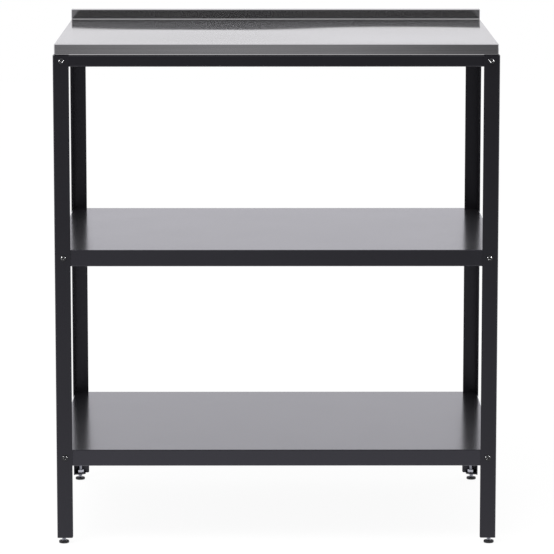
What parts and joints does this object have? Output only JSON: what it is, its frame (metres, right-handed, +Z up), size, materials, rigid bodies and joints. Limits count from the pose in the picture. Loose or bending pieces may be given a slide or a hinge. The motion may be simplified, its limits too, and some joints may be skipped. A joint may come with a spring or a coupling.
{
  "type": "outdoor kitchen bench",
  "caption": "Free-standing outdoor kitchen bench: a folded stainless worktop with a low rear upstand on an open black angle-steel frame with sheet shelves and screw feet.",
  "frame": {"origin": "on the floor, under the middle of the bench", "axes": "+X to the right seen from the front, +Y to the rear, +Z up"},
  "size_m": [0.86, 0.6172, 1.004],
  "materials": {
    "frame_coat": "black satin-gloss powder coat",
    "shelf_coat": "black semi-gloss powder coat on flat sheet",
    "stainless": "fine cold-rolled stainless sheet",
    "zinc_plate": "bright zinc plate",
    "black_screw": "black plated screw",
    "pad_plastic": "moulded black plastic"
  },
  "bodies": {
    "frame": {"front_left_leg": "frame_coat", "front_left_foot_plate": "frame_coat", "front_right_leg": "frame_coat", "front_right_foot_plate": "frame_coat", "rear_left_leg": "frame_coat", "rear_left_foot_plate": "frame_coat", "rear_right_leg": "frame_coat", "rear_right_foot_plate": "frame_coat", "front_top_rail": "frame_coat", "rear_top_rail": "frame_coat", "left_top_rail": "frame_coat", "right_top_rail": "frame_coat", "worktop": "stainless", "worktop_front_stiffener": "stainless", "worktop_rear_stiffener": "stainless", "middle_shelf": "shelf_coat", "bottom_shelf": "shelf_coat", "middle_shelf_stiffener": "shelf_coat", "bottom_shelf_stiffener": "shelf_coat", "top_rail_screws": "black_screw", "top_rail_weld_nuts": "frame_coat", "middle_shelf_screws": "black_screw", "middle_shelf_weld_nuts": "shelf_coat", "bottom_shelf_screws": "black_screw", "bottom_shelf_weld_nuts": "shelf_coat", "worktop_screws": "zinc_plate", "worktop_weld_nuts": "stainless", "foot_nuts": "zinc_plate"},
    "front_left_pad": {"front_left_foot_pad": "pad_plastic"},
    "front_left_stud": {"front_left_foot_stud": "zinc_plate"},
    "front_right_pad": {"front_right_foot_pad": "pad_plastic"},
    "front_right_stud": {"front_right_foot_stud": "zinc_plate"},
    "rear_left_pad": {"rear_left_foot_pad": "pad_plastic"},
    "rear_left_stud": {"rear_left_foot_stud": "zinc_plate"},
    "rear_right_pad": {"rear_right_foot_pad": "pad_plastic"},
    "rear_right_stud": {"rear_right_foot_stud": "zinc_plate"}
  },
  "joints": [
    {"name": "front_left_foot_height", "type": "slide", "parent": "frame", "child": "front_left_pad", "axis": [0, 0, -1], "range_m": [-0.006, 0.012]},
    {"name": "front_left_stud_turn", "type": "hinge", "parent": "front_left_pad", "child": "front_left_stud", "pos_m": [-0.4175, -0.2925, 0.005], "axis": [0, 0, -1], "range_deg": [-1728, 3456]},
    {"name": "front_right_foot_height", "type": "slide", "parent": "frame", "child": "front_right_pad", "axis": [0, 0, -1], "range_m": [-0.006, 0.012]},
    {"name": "front_right_stud_turn", "type": "hinge", "parent": "front_right_pad", "child": "front_right_stud", "pos_m": [0.4175, -0.2925, 0.005], "axis": [0, 0, -1], "range_deg": [-1728, 3456]},
    {"name": "rear_left_foot_height", "type": "slide", "parent": "frame", "child": "rear_left_pad", "axis": [0, 0, -1], "range_m": [-0.006, 0.012]},
    {"name": "rear_left_stud_turn", "type": "hinge", "parent": "rear_left_pad", "child": "rear_left_stud", "pos_m": [-0.4175, 0.2925, 0.005], "axis": [0, 0, -1], "range_deg": [-1728, 3456]},
    {"name": "rear_right_foot_height", "type": "slide", "parent": "frame", "child": "rear_right_pad", "axis": [0, 0, -1], "range_m": [-0.006, 0.012]},
    {"name": "rear_right_stud_turn", "type": "hinge", "parent": "rear_right_pad", "child": "rear_right_stud", "pos_m": [0.4175, 0.2925, 0.005], "axis": [0, 0, -1], "range_deg": [-1728, 3456]}
  ],
  "couplings": [
    {"joint": "front_left_stud_turn", "follows": "front_left_foot_height", "rad_per_m": 5026.5},
    {"joint": "front_right_stud_turn", "follows": "front_right_foot_height", "rad_per_m": 5026.5},
    {"joint": "rear_left_stud_turn", "follows": "rear_left_foot_height", "rad_per_m": 5026.5},
    {"joint": "rear_right_stud_turn", "follows": "rear_right_foot_height", "rad_per_m": 5026.5}
  ]
}
